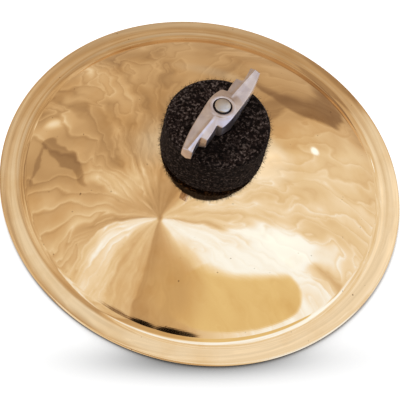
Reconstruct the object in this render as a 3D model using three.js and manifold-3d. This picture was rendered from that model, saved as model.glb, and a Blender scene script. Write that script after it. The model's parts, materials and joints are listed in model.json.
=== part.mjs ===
// Bell cymbal on its threaded post, in millimetres.
// +Z points up along the post, and the origin is the centre of the plane that the rim rests on.

import * as THREE from 'three';
import { mergeVertices } from 'three/addons/utils/BufferGeometryUtils.js';
import Module from 'manifold-3d';

const wasm = await Module();
wasm.setup();

// Bell cymbal: a spherical dome, a hollow fillet and a flange that thins towards the rim
const rimRadius = 76.2;
const creaseRadius = 67.8;
const domeRise = 26;
const bellWall = 1.8;
const rimThickness = 1.2;
const creaseFillet = 8.5;
const rimRounding = 0.55;
const bellHoleRadius = 6;

// Rod
const rodRadius = 3;
const rodProud = 1;
const rodChamfer = 0.6;

// Sleeve round the rod
const sleeveWall = 1.5;
const sleeveReach = 6;
const sleeveFlangeRadius = 9.5;
const sleeveFlangeThickness = 1.5;

// Felts
const upperFeltRadius = 19.3;
const upperFeltThickness = 17;
const upperFeltRounding = 1.2;
const lowerFeltRadius = 15;
const lowerFeltThickness = 6;
const lowerFeltCrown = 46;

// Seat washer
const seatWasherRadius = 12.5;
const seatWasherThickness = 1.6;
const seatWasherRounding = 0.3;

// Hex pieces
const jamNutFlats = 10;
const jamNutThickness = 3.2;
const couplingFlats = 13;
const couplingHeight = 11;
const socketRadius = 3.4;
const socketDepth = 6.7;

// Wing nut: its plan is the same after half a turn
const nutHeight = 10.1;
const tipReach = 22.4;
const hubHalfWidth = 5.5;
const hubBaseRadius = 5.3;
const hubTopRadius = 4.7;
const nutAzimuth = THREE.MathUtils.degToRad(68.5);
const ridgeOverHub = 0.25;
const ridgeFall = 1.8;
const edgeFall = 1.1;
const keelRise = 2.6;
const keelFlare = 2.7;
const boreChamfer = 0.5;

// Clearances
const seatGap = 0.3;
const feltGap = 0.35;
const slideGap = 0.3;
const threadGap = 0.4;

// Overrun of every cutting solid
const overrun = 1;

// How finely the round shapes are divided
const bellSides = 72;
const feltSides = 48;
const roundSides = 36;
const domeSteps = 9;
const filletSteps = 6;
const roundingSteps = 3;
const crownSteps = 4;

// Colours
const bronzeColour = 0xd9a760;
const feltColour = 0x231f1f;
const zincColour = 0xb9b1ae;
const steelColour = 0x9fa2a6;
const plasticColour = 0x1b1b1d;

// Heights, stacked from the rim's plane up and from the dome's top down
const sphereRadius = (creaseRadius ** 2 + domeRise ** 2) / (2 * domeRise);
const domeTop = bellWall + domeRise;
const sphereCentre = domeTop - sphereRadius;
const domeUnderside = domeTop - bellWall;
const upperFeltBottom = domeTop + feltGap;
const upperFeltTop = upperFeltBottom + upperFeltThickness;
const nutBottom = upperFeltTop + seatGap;
const nutTop = nutBottom + nutHeight;
const rodTop = nutTop + rodProud;
const lowerFeltTop = domeUnderside - feltGap;
const lowerFeltBottom = lowerFeltTop - lowerFeltThickness;
const sleeveFlangeTop = lowerFeltBottom - seatGap;
const sleeveBottom = sleeveFlangeTop - sleeveFlangeThickness;
const sleeveTop = upperFeltBottom + sleeveReach;
const seatWasherTop = sleeveBottom - seatGap;
const seatWasherBottom = seatWasherTop - seatWasherThickness;
const jamNutTop = seatWasherBottom - seatGap;
const jamNutBottom = jamNutTop - jamNutThickness;
const couplingTop = jamNutBottom - seatGap;
const couplingBottom = couplingTop - couplingHeight;
const rodBottom = couplingBottom + socketDepth;

// Radii that follow from the fits
const threadBoreRadius = rodRadius + threadGap;
const sleeveBoreRadius = rodRadius + slideGap;
const sleeveRadius = sleeveBoreRadius + sleeveWall;
const feltBoreRadius = sleeveRadius + slideGap;
const washerBoreRadius = rodRadius + slideGap;

// Half of the wing nut's outline, as shares of the tip's reach and of the hub's half width.
// It runs from one tip along the smooth side, round the hub's shoulder and over the two steps to the other tip.
const halfOutlineShares = [
  [1, -0.35],
  [0.76, -0.61],
  [0.54, -0.78],
  [0.27, -0.91],
  [0, -1],
  [-0.16, -0.97],
  [-0.28, -0.87],
  [-0.315, -0.75],
  [-0.325, -0.47],
  [-0.48, -0.56],
  [-0.645, -0.6],
  [-0.67, -0.14],
  [-0.83, -0.23],
  [-0.98, -0.36],
];

function material(colour, roughness, metalness) {
  return new THREE.MeshStandardMaterial({ color: colour, roughness, metalness });
}

// A solid in manifold-3d's form, from a closed geometry
function toSolid(geometry) {
  const bare = geometry.clone();
  bare.deleteAttribute('normal');
  bare.deleteAttribute('uv');
  const merged = mergeVertices(bare);
  return new wasm.Manifold(new wasm.Mesh({
    numProp: 3,
    vertProperties: new Float32Array(merged.attributes.position.array),
    triVerts: new Uint32Array(merged.index.array),
  }));
}

function toGeometry(solid) {
  const mesh = solid.getMesh();
  const geometry = new THREE.BufferGeometry();
  geometry.setAttribute('position', new THREE.BufferAttribute(new Float32Array(mesh.vertProperties), 3));
  geometry.setIndex(new THREE.BufferAttribute(new Uint32Array(mesh.triVerts), 1));
  geometry.computeVertexNormals();
  return geometry;
}

// Points on an arc round a centre (radius, height), from one angle to another
function arc(centreRadius, centreHeight, radius, from, to, steps) {
  const points = [];
  for (let step = 0; step <= steps; step += 1) {
    const angle = from + (to - from) * step / steps;
    points.push([centreRadius + radius * Math.cos(angle), centreHeight + radius * Math.sin(angle)]);
  }
  return points;
}

function toVectors(points) {
  return points.map(([x, y]) => new THREE.Vector2(x, y));
}

// A solid turned from an outline of (radius, height) points that runs anticlockwise.
// The outline starts and ends on the axis, or else it closes on itself.
function turned(outline, sides) {
  const closing = outline[0][0] > 0 ? [outline[0]] : [];
  return new THREE.LatheGeometry(toVectors([...outline, ...closing]), sides).rotateX(Math.PI / 2);
}

// A straight prism over an outline of (x, y) points
function prism(outline, bottom, top) {
  const shape = new THREE.Shape(toVectors(outline));
  const geometry = new THREE.ExtrudeGeometry(shape, { depth: top - bottom, bevelEnabled: false });
  return geometry.translate(0, 0, bottom);
}

function bellCymbal() {
  const filletHeight = bellWall + creaseFillet;
  const reach = sphereRadius + creaseFillet;
  const filletCentre = Math.sqrt(reach ** 2 - (filletHeight - sphereCentre) ** 2);
  const joinAngle = Math.atan2(filletHeight - sphereCentre, filletCentre);
  const outerHoleAngle = Math.acos(bellHoleRadius / sphereRadius);
  const innerHoleAngle = Math.acos(bellHoleRadius / (sphereRadius - bellWall));
  const down = -Math.PI / 2;
  const outline = [
    ...arc(filletCentre, filletHeight, creaseFillet + bellWall, joinAngle - Math.PI, down, filletSteps),
    ...arc(rimRadius - rimRounding, rimRounding, rimRounding, down, 0, roundingSteps),
    ...arc(rimRadius - rimRounding, rimThickness - rimRounding, rimRounding, 0, -down, roundingSteps),
    ...arc(filletCentre, filletHeight, creaseFillet, down, joinAngle - Math.PI, filletSteps),
    ...arc(0, sphereCentre, sphereRadius, joinAngle, outerHoleAngle, domeSteps).slice(1),
    ...arc(0, sphereCentre, sphereRadius - bellWall, innerHoleAngle, joinAngle, domeSteps).slice(0, -1),
  ];
  return turned(outline, bellSides);
}

function upperFelt() {
  const outer = upperFeltRadius - upperFeltRounding;
  const low = upperFeltBottom + upperFeltRounding;
  const high = upperFeltTop - upperFeltRounding;
  return turned([
    [feltBoreRadius, upperFeltBottom],
    ...arc(outer, low, upperFeltRounding, -Math.PI / 2, 0, roundingSteps),
    ...arc(outer, high, upperFeltRounding, 0, Math.PI / 2, roundingSteps),
    [feltBoreRadius, upperFeltTop],
  ], feltSides);
}

// The lower felt bulges up into the dome as a pressed felt does, so the bell can rock on it
function lowerFelt() {
  const crownCentre = lowerFeltTop - lowerFeltCrown;
  const rimAngle = Math.acos(lowerFeltRadius / lowerFeltCrown);
  const boreAngle = Math.acos(feltBoreRadius / lowerFeltCrown);
  return turned([
    [feltBoreRadius, lowerFeltBottom],
    [lowerFeltRadius, lowerFeltBottom],
    ...arc(0, crownCentre, lowerFeltCrown, rimAngle, boreAngle, crownSteps),
  ], feltSides);
}

function sleeve() {
  return turned([
    [sleeveBoreRadius, sleeveBottom],
    [sleeveFlangeRadius, sleeveBottom],
    [sleeveFlangeRadius, sleeveFlangeTop],
    [sleeveRadius, sleeveFlangeTop],
    [sleeveRadius, sleeveTop],
    [sleeveBoreRadius, sleeveTop],
  ], roundSides);
}

function seatWasher() {
  const outer = seatWasherRadius - seatWasherRounding;
  return turned([
    [washerBoreRadius, seatWasherBottom],
    [outer, seatWasherBottom],
    [seatWasherRadius, seatWasherBottom + seatWasherRounding],
    [seatWasherRadius, seatWasherTop - seatWasherRounding],
    [outer, seatWasherTop],
    [washerBoreRadius, seatWasherTop],
  ], roundSides);
}

function threadedRod() {
  return turned([
    [0, rodBottom],
    [rodRadius - rodChamfer, rodBottom],
    [rodRadius, rodBottom + rodChamfer],
    [rodRadius, rodTop - rodChamfer],
    [rodRadius - rodChamfer, rodTop],
    [0, rodTop],
  ], roundSides);
}

// A hex prism with a bore, its corners chamfered at both ends by a turned ring
function hexPiece(flats, bottom, top, boreRadius) {
  const halfFlats = flats / 2;
  const cornerRadius = halfFlats / Math.cos(Math.PI / 6);
  const chamfer = (cornerRadius - halfFlats) / 2;
  const hexagon = [];
  for (let corner = 0; corner < 6; corner += 1) {
    const angle = corner * Math.PI / 3;
    hexagon.push([cornerRadius * Math.cos(angle), cornerRadius * Math.sin(angle)]);
  }
  const envelope = turned([
    [boreRadius, bottom],
    [halfFlats, bottom],
    [cornerRadius, bottom + chamfer],
    [cornerRadius, top - chamfer],
    [halfFlats, top],
    [boreRadius, top],
  ], roundSides);
  return toSolid(prism(hexagon, bottom, top)).intersect(toSolid(envelope));
}

function jamNut() {
  return toGeometry(hexPiece(jamNutFlats, jamNutBottom, jamNutTop, threadBoreRadius));
}

function baseCoupling() {
  const body = hexPiece(couplingFlats, couplingBottom, couplingTop, threadBoreRadius);
  const socketLength = socketDepth + overrun;
  const socket = new THREE.CylinderGeometry(socketRadius, socketRadius, socketLength, roundSides);
  socket.rotateX(Math.PI / 2);
  socket.translate(0, 0, couplingBottom - overrun + socketLength / 2);
  return toGeometry(body.subtract(toSolid(socket)));
}

// A four-sided pyramid with its point on the axis, which falls away along the wings and across them
function pyramid(point, fallAlong, fallAcross, upright) {
  const height = 2 * nutHeight;
  const shape = new THREE.ConeGeometry(1, height, 4);
  shape.rotateX(Math.PI / 2);
  shape.translate(0, 0, -height / 2);
  shape.scale(tipReach * height / fallAlong, hubHalfWidth * height / fallAcross, 1);
  if (!upright) shape.rotateX(Math.PI);
  return shape.translate(0, 0, point);
}

function wingNut() {
  const half = halfOutlineShares.map(([along, across]) => [along * tipReach, across * hubHalfWidth]);
  const otherHalf = half.map(([along, across]) => [-along, -across]);
  const plan = prism([...half, ...otherHalf], nutBottom, nutTop + ridgeOverHub);
  const roof = pyramid(nutTop + ridgeOverHub, ridgeFall, edgeFall, true);
  const keel = pyramid(nutBottom, keelRise, keelFlare, false);
  const hub = new THREE.CylinderGeometry(hubTopRadius, hubBaseRadius, nutHeight, roundSides);
  hub.rotateX(Math.PI / 2);
  hub.translate(0, 0, nutBottom + nutHeight / 2);
  const bore = turned([
    [0, nutBottom - overrun],
    [threadBoreRadius, nutBottom - overrun],
    [threadBoreRadius, nutTop - boreChamfer],
    [threadBoreRadius + boreChamfer, nutTop],
    [threadBoreRadius + boreChamfer, nutTop + overrun],
    [0, nutTop + overrun],
  ], roundSides);
  const wings = toSolid(plan).intersect(toSolid(roof)).intersect(toSolid(keel));
  const solid = wings.add(toSolid(hub)).subtract(toSolid(bore));
  return toGeometry(solid).rotateZ(nutAzimuth);
}

const bronze = material(bronzeColour, 0.08, 1);
const felt = material(feltColour, 0.95, 0);
const zinc = material(zincColour, 0.4, 0.8);
const steel = material(steelColour, 0.3, 1);
const plastic = material(plasticColour, 0.5, 0);

const group = new THREE.Group();

function addPiece(name, geometry, finish) {
  const mesh = new THREE.Mesh(geometry, finish);
  mesh.name = name;
  group.add(mesh);
}

addPiece('bell_cymbal', bellCymbal(), bronze);
addPiece('upper_felt', upperFelt(), felt);
addPiece('lower_felt', lowerFelt(), felt);
addPiece('sleeve', sleeve(), plastic);
addPiece('seat_washer', seatWasher(), steel);
addPiece('threaded_rod', threadedRod(), steel);
addPiece('jam_nut', jamNut(), steel);
addPiece('base_coupling', baseCoupling(), steel);
addPiece('wing_nut', wingNut(), zinc);

export default group;
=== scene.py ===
"""Looks of a bell cymbal on its threaded post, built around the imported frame.

Units are metres, +Z points up along the post, and the rim rests on Z = 0.
"""
import json
import logging
import math
from collections.abc import Iterable, Sequence
from dataclasses import dataclass, field
from enum import Enum

import bmesh
import bpy
from mathutils import Matrix, Vector

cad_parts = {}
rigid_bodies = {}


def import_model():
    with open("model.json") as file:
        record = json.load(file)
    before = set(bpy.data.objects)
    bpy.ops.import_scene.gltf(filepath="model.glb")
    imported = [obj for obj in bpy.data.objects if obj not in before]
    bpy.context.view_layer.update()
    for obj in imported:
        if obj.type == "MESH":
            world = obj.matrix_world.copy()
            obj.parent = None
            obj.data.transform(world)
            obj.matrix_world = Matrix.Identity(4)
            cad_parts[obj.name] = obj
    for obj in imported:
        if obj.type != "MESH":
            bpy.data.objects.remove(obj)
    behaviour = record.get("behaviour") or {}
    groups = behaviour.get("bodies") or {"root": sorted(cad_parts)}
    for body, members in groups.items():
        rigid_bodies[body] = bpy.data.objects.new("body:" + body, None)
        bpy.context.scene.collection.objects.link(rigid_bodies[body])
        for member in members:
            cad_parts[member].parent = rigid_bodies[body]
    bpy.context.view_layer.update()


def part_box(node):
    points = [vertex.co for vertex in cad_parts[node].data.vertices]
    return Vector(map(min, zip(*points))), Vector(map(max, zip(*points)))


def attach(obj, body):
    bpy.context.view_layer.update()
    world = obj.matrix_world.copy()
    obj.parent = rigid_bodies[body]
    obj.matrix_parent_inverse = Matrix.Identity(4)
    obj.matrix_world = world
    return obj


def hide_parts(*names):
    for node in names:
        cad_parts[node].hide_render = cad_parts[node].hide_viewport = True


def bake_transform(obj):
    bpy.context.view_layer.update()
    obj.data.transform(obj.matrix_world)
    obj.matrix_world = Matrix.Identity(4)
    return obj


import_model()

LOG = logging.getLogger("bell_cymbal")
MM = 0.001
WELD = 0.002 * MM
TURN = 2 * math.pi
QUARTER = math.pi / 2
FLATTEN = (1.0, 1.0, 0.0)
DISPLAY_GAMMA = 2.2
WAVE_LENGTH = 0.314

Point = tuple[float, float]
Place = tuple[float, float, float]
Colour = tuple[float, float, float, float]
Tree = bpy.types.NodeTree
Material = bpy.types.Material
Piece = bpy.types.Object


class Metalwork(Enum):
    """How a bronze face was finished: roughness, then depth and spacing of its tool marks in millimetres."""

    MIRROR = (0.045, 0.0004, 0.45)
    TURNED = (0.24, 0.012, 0.60)


class Thread(Enum):
    """A metric thread: its pitch and its root, crest and end radii in millimetres."""

    M6_ROD = (1.0, 2.40, 2.95, 2.90)
    M6_BORE = (1.0, 2.50, 3.05, 3.10)
    M8_BORE = (1.25, 3.40, 4.00, 4.05)


def linear(hex_colour: str) -> Colour:
    """Turns an sRGB colour into the linear one that shaders take.

    Args:
        hex_colour: Colour as "#rrggbb".

    Returns:
        Linear red, green, blue and an alpha of 1.
    """
    channels = (int(hex_colour[i:i + 2], 16) / 255 for i in (1, 3, 5))
    red, green, blue = (c / 12.92 if c <= 0.04045 else ((c + 0.055) / 1.055) ** 2.4 for c in channels)
    return red, green, blue, 1.0


def grey(level: float) -> Colour:
    """Returns a linear grey of that level."""
    return level, level, level, 1.0


class Flow:
    """A value that flows out of a node. A sum on it, such as a * b + 1, becomes nodes of the same tree."""

    def __init__(self, tree: Tree, socket: bpy.types.NodeSocket | None) -> None:
        """Keeps the tree and the output that the value comes from."""
        self.tree = tree
        self.socket = socket

    def __getitem__(self, output: str | int) -> "Flow":
        """Returns another output of the same node."""
        return Flow(self.tree, self.socket.node.outputs[output])

    def math(self, operation: str, *others: object) -> "Flow":
        """Takes this value and others through a Math node."""
        return add_node(self.tree, "ShaderNodeMath", dict(enumerate((self, *others))), operation=operation)

    def vector(self, operation: str, *others: object) -> "Flow":
        """Takes this vector and others through a Vector Math node. A scale is a plain number."""
        named = {"Scale" if operation == "SCALE" else index: other for index, other in enumerate(others, 1)}
        return add_node(self.tree, "ShaderNodeVectorMath", {0: self, **named}, operation=operation)

    def __add__(self, other: object) -> "Flow":
        """Returns the sum."""
        return self.math("ADD", other)

    def __sub__(self, other: object) -> "Flow":
        """Returns the difference."""
        return self.math("SUBTRACT", other)

    def __rsub__(self, other: float) -> "Flow":
        """Returns the difference from a number."""
        return add_node(self.tree, "ShaderNodeMath", {0: other, 1: self}, operation="SUBTRACT")

    def __mul__(self, other: object) -> "Flow":
        """Returns the product."""
        return self.math("MULTIPLY", other)

    def __truediv__(self, other: object) -> "Flow":
        """Returns the quotient."""
        return self.math("DIVIDE", other)

    def __rtruediv__(self, other: float) -> "Flow":
        """Returns a number's quotient by this value."""
        return add_node(self.tree, "ShaderNodeMath", {0: other, 1: self}, operation="DIVIDE")

    def __pow__(self, other: object) -> "Flow":
        """Returns the power."""
        return self.math("POWER", other)

    def split(self) -> "Flow":
        """Returns this vector's parts, as the outputs X, Y and Z."""
        return add_node(self.tree, "ShaderNodeSeparateXYZ", {0: self})

    def remap(
        self, low: object = 0.0, high: object = 1.0, to_low: object = 0.0, to_high: object = 1.0,
        soft: bool = False,
    ) -> "Flow":
        """Carries the value over from one range to another, and holds it inside.

        Args:
            low: Value that becomes to_low.
            high: Value that becomes to_high.
            to_low: First end of the new range.
            to_high: Other end of the new range.
            soft: Whether the value eases in and out at the ends.

        Returns:
            The new value.
        """
        return add_node(
            self.tree, "ShaderNodeMapRange",
            {"Value": self, "From Min": low, "From Max": high, "To Min": to_low, "To Max": to_high},
            interpolation_type="SMOOTHSTEP" if soft else "LINEAR")

    def mix(self, first: object, second: object, colour: bool = False) -> "Flow":
        """Mixes two numbers or two colours, with this value as the share of the second.

        Args:
            first: What a share of 0 gives.
            second: What a share of 1 gives.
            colour: Whether the two are colours.

        Returns:
            The mixture.
        """
        if colour:
            return add_node(self.tree, "ShaderNodeMix", {0: self, 6: first, 7: second}, data_type="RGBA")[2]
        return add_node(self.tree, "ShaderNodeMix", {0: self, 2: first, 3: second})

    def ramp(self, *stops: tuple[float, str | float | Colour]) -> "Flow":
        """Looks the value up on a rising ramp of hex sRGB colours, grey levels or linear colours."""
        return add_node(self.tree, "ShaderNodeValToRGB", {"Fac": self}, stops)

    def noise(self, size: object, detail: float, **inputs: float) -> "Flow":
        """Returns noise with spots of about that size at this place."""
        return add_node(
            self.tree, "ShaderNodeTexNoise", {"Vector": self, "Scale": 1 / size, "Detail": detail, **inputs})

    def bump(self, depth: float, **inputs: object) -> "Flow":
        """Returns the normal of a surface on which this value is a height of up to that depth."""
        return add_node(self.tree, "ShaderNodeBump", {"Distance": depth, "Height": self, **inputs})


def connect(tree: Tree, node: bpy.types.Node, inputs: dict) -> None:
    """Sets a node's inputs to values, or links them to what flows in.

    Args:
        tree: Tree that the node is in.
        node: The node.
        inputs: Values and flows by input name or index.
    """
    for key, value in inputs.items():
        if isinstance(value, Flow):
            tree.links.new(value.socket, node.inputs[key])
        else:
            node.inputs[key].default_value = value


def add_node(
    tree: Tree, kind: str, inputs: dict | None = None, stops: Iterable[tuple[float, object]] = (),
    **settings: object,
) -> Flow:
    """Adds a node to a tree with its settings, values and links.

    Args:
        tree: Tree that gets the node.
        kind: Blender's name for the type of node.
        inputs: Values and flows by input name or index.
        stops: Positions and colours of the node's colour ramp, in rising order.
        settings: The node's own properties.

    Returns:
        What flows out of the node's first output.
    """
    node = tree.nodes.new(kind)
    for name, value in settings.items():
        setattr(node, name, value)
    connect(tree, node, inputs or {})
    for index, (position, colour) in enumerate(stops):
        elements = node.color_ramp.elements
        element = elements[index] if index < len(elements) else elements.new(1.0)
        element.position = position
        if isinstance(colour, str):
            colour = linear(colour)
        element.color = grey(colour) if isinstance(colour, (int, float)) else colour
    return Flow(tree, node.outputs[0] if len(node.outputs) else None)


def new_tree(name: str, **sockets: Sequence[str]) -> tuple[Tree, dict[str, Flow]]:
    """Starts a geometry tree that takes a geometry and named inputs.

    Args:
        name: Name of the tree.
        sockets: Names of its inputs by their kind (Float, Int, Vector or Material).

    Returns:
        The tree and what flows in, by name.
    """
    tree = bpy.data.node_groups.new(name, "GeometryNodeTree")
    for kind, names in {"Geometry": ("Geometry",), **sockets}.items():
        for socket in names:
            tree.interface.new_socket(socket, in_out="INPUT", socket_type="NodeSocket" + kind)
    tree.interface.new_socket("Geometry", in_out="OUTPUT", socket_type="NodeSocketGeometry")
    return tree, {socket.name: Flow(tree, socket) for socket in tree.nodes.new("NodeGroupInput").outputs}


def finish_tree(tree: Tree, geometry: Flow, finish: Flow | None = None) -> Tree:
    """Links what a tree has made to its output, as plain geometry.

    Args:
        tree: The tree.
        geometry: What it has made.
        finish: Material that the geometry gets, or None to leave it as it is.

    Returns:
        The tree.
    """
    if finish:
        geometry = add_node(tree, "GeometryNodeSetMaterial", {"Geometry": geometry, "Material": finish})
    add_node(tree, "NodeGroupOutput", {0: add_node(tree, "GeometryNodeRealizeInstances", {0: geometry})})
    return tree


def wrapped(angle: Flow, radius: Flow, height: Flow) -> Flow:
    """Returns a place round the post's axis."""
    return add_node(angle.tree, "ShaderNodeCombineXYZ", {
        "X": radius * angle.math("COSINE"), "Y": radius * angle.math("SINE"), "Z": height})


def plain(name: str, mesh: bpy.types.Mesh) -> Piece:
    """Puts a mesh in the scene as an object at the origin.

    Args:
        name: Name of the object and its mesh.
        mesh: The mesh.

    Returns:
        The new object.
    """
    mesh.name = name
    piece = bpy.data.objects.new(name, mesh)
    bpy.context.scene.collection.objects.link(piece)
    return piece


def drawn(name: str, solid: bmesh.types.BMesh) -> Piece:
    """Puts a solid that was drawn face by face in the scene, and frees the drawing.

    Args:
        name: Name of the object.
        solid: The drawing.

    Returns:
        The new object.
    """
    mesh = bpy.data.meshes.new(name)
    solid.to_mesh(mesh)
    solid.free()
    return plain(name, mesh)


def keep_evaluated(piece: Piece) -> Piece:
    """Turns what an object's modifiers show into its own plain mesh, and removes the modifiers.

    Args:
        piece: The object.

    Returns:
        The same object.
    """
    graph = bpy.context.evaluated_depsgraph_get()
    mesh = bpy.data.meshes.new_from_object(piece.evaluated_get(graph))
    piece.modifiers.clear()
    piece.data = mesh
    mesh.name = piece.name
    return piece


def grown(name: str, tree: Tree, values: dict[str, object], base: bpy.types.Mesh | None = None) -> Piece:
    """Runs a geometry tree and keeps its result as a plain mesh.

    Args:
        name: Name of the new object.
        tree: The geometry tree.
        values: The tree's inputs by name.
        base: Mesh that the tree starts from, or None for an empty one.

    Returns:
        The new object, with no modifier left on it.
    """
    piece = plain(name, base.copy() if base else bpy.data.meshes.new(name))
    modifier = piece.modifiers.new(tree.name, "NODES")
    modifier.node_group = tree
    for item in tree.interface.items_tree:
        if item.item_type == "SOCKET" and item.in_out == "INPUT" and item.name in values:
            modifier[item.identifier] = values[item.name]
    return keep_evaluated(piece)


def tidy_solid(piece: Piece, sharp: float = 35.0) -> Piece:
    """Welds a solid's seams, points its faces outwards and marks its sharp edges.

    Args:
        piece: Object whose mesh is tidied.
        sharp: Angle in degrees past which an edge stays sharp.

    Returns:
        The same object.
    """
    solid = bmesh.new()
    solid.from_mesh(piece.data)
    bmesh.ops.remove_doubles(solid, verts=solid.verts, dist=WELD)
    bmesh.ops.dissolve_degenerate(solid, edges=solid.edges, dist=WELD / 10)
    bmesh.ops.recalc_face_normals(solid, faces=solid.faces)
    solid.to_mesh(piece.data)
    solid.free()
    piece.data.shade_smooth()
    piece.data.set_sharp_from_angle(angle=math.radians(sharp))
    return piece


def joined(name: str, *parts: Piece) -> Piece:
    """Joins objects into one.

    Args:
        name: Name of the joined object.
        parts: The objects.

    Returns:
        The first object, which now holds them all.
    """
    with bpy.context.temp_override(active_object=parts[0], selected_editable_objects=list(parts)):
        bpy.ops.object.join()
    parts[0].name = parts[0].data.name = name
    return parts[0]


def rounded(corners: Sequence[Place], steps: int = 6) -> list[Point]:
    """Rounds the corners of a closed outline.

    Args:
        corners: Radius and height of each corner, and how far its rounding reaches along both sides.
        steps: Stretches in each rounding.

    Returns:
        The outline's points.
    """
    points = []
    for index, (across, up, reach) in enumerate(corners):
        corner = Vector((across, up))
        start = corner + (Vector(corners[index - 1][:2]) - corner).normalized() * reach
        stop = corner + (Vector(corners[(index + 1) % len(corners)][:2]) - corner).normalized() * reach
        for share in (step / steps for step in range(steps + 1)):
            points.append(tuple(
                start * (1 - share) ** 2 + corner * 2 * share * (1 - share) + stop * share ** 2))
    return points


def splined(points: Sequence[Point], steps: int) -> list[Point]:
    """Draws a smooth curve through points.

    Args:
        points: Points that the curve passes through.
        steps: Stretches between each two of them.

    Returns:
        The curve's points, ends included.
    """
    ends = [points[0], *points, points[-1]]
    curve = []
    for quartet in zip(ends, ends[1:], ends[2:], ends[3:]):
        for t in (step / steps for step in range(steps)):
            curve.append(tuple(
                0.5 * (2 * b + (c - a) * t + (2 * a - 5 * b + 4 * c - d) * t ** 2
                       + (3 * b - a - 3 * c + d) * t ** 3)
                for a, b, c, d in zip(*quartet)))
    return [*curve, points[-1]]


def smooth_share(value: float, low: float, high: float) -> float:
    """Returns how far a value is between two others, from 0 to 1, with soft ends."""
    share = min(max((value - low) / (high - low), 0.0), 1.0)
    return share * share * (3 - 2 * share)


def turning_group() -> Tree:
    """Makes the tree that turns an outline, x for radius and y for height, round the post's axis.

    Returns:
        The tree, which takes the radius of the circle that it sweeps along and its number of sides.
    """
    tree, given = new_tree("turned_outline", Float=("Axis Radius",), Int=("Sides",))
    path = add_node(tree, "GeometryNodeCurvePrimitiveCircle", {
        "Resolution": given["Sides"], "Radius": given["Axis Radius"]})
    shift = add_node(tree, "ShaderNodeCombineXYZ", {"X": given["Axis Radius"] * -1.0})
    moved = add_node(tree, "GeometryNodeTransform", {
        "Geometry": given["Geometry"], "Translation": shift, "Scale": (1.0, -1.0, 1.0)})
    swept = add_node(tree, "GeometryNodeCurveToMesh", {"Curve": path, "Profile Curve": moved})
    return finish_tree(tree, swept)


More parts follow.
